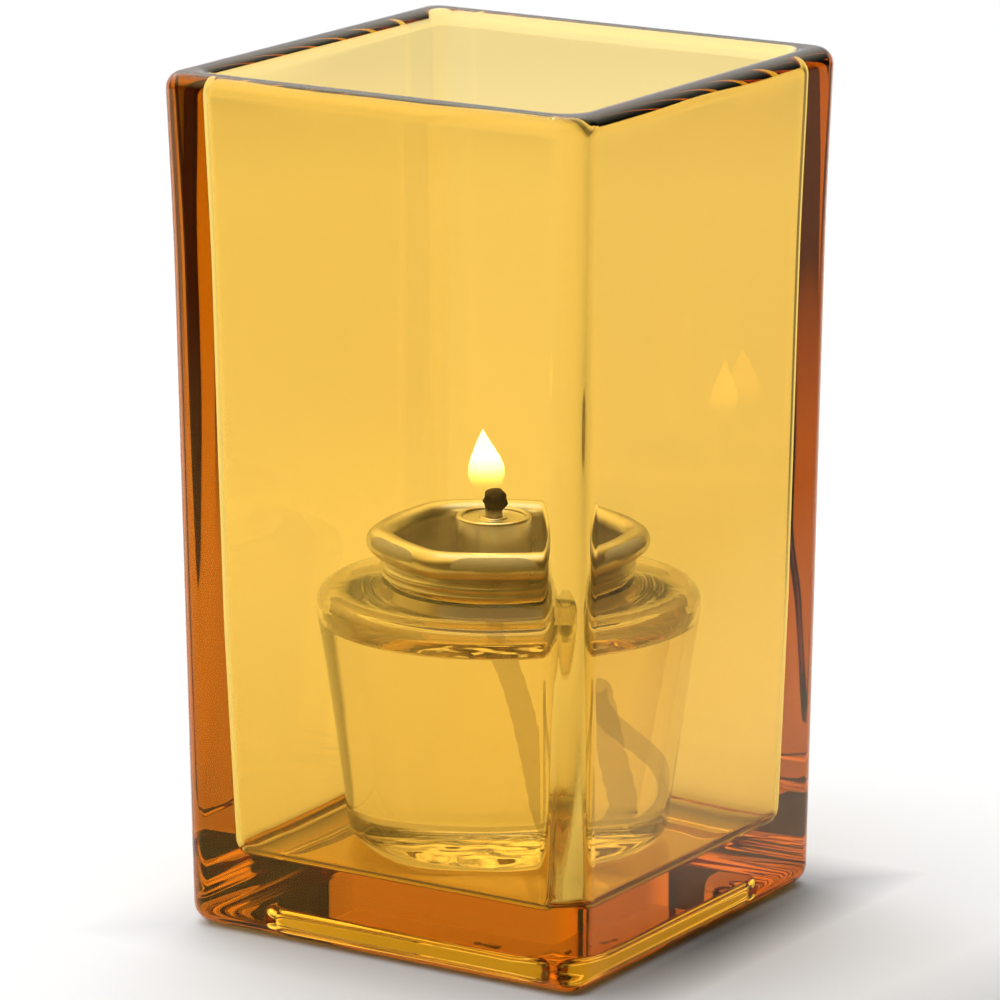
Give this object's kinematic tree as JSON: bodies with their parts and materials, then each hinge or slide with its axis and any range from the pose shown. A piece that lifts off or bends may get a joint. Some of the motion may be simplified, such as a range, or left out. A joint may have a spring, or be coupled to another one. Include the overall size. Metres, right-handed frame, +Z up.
{
  "type": "tealight holder",
  "caption": "Square amber glass tealight holder with a thick base, holding a lift-out liquid-candle fuel cell with a metal cap and wick.",
  "frame": {"origin": "centre of the glass base's underside, on the surface that it stands on", "axes": "+Z up along the holder's centre line; X and Y square to its flat sides"},
  "size_m": [0.071, 0.071, 0.125],
  "materials": {
    "amber_glass": "gloss",
    "clear_plastic": "gloss",
    "clear_fuel": "gloss",
    "cap_metal": "satin",
    "liner": "matte",
    "wick_fibre": "matte",
    "flame": "matte"
  },
  "bodies": {
    "holder": {"glass_holder": "amber_glass"},
    "fuel_cell": {"fuel_bottle": "clear_plastic", "lamp_fuel": "clear_fuel", "metal_cap": "cap_metal", "cap_liner": "liner", "wick_holder": "cap_metal", "wick": "wick_fibre", "wick_tail": "wick_fibre"}
  },
  "joints": [
    {"name": "fuel_cell_lift", "type": "slide", "parent": "holder", "child": "fuel_cell", "axis": [0, 0, 1], "range_m": [0, 0.12]}
  ]
}
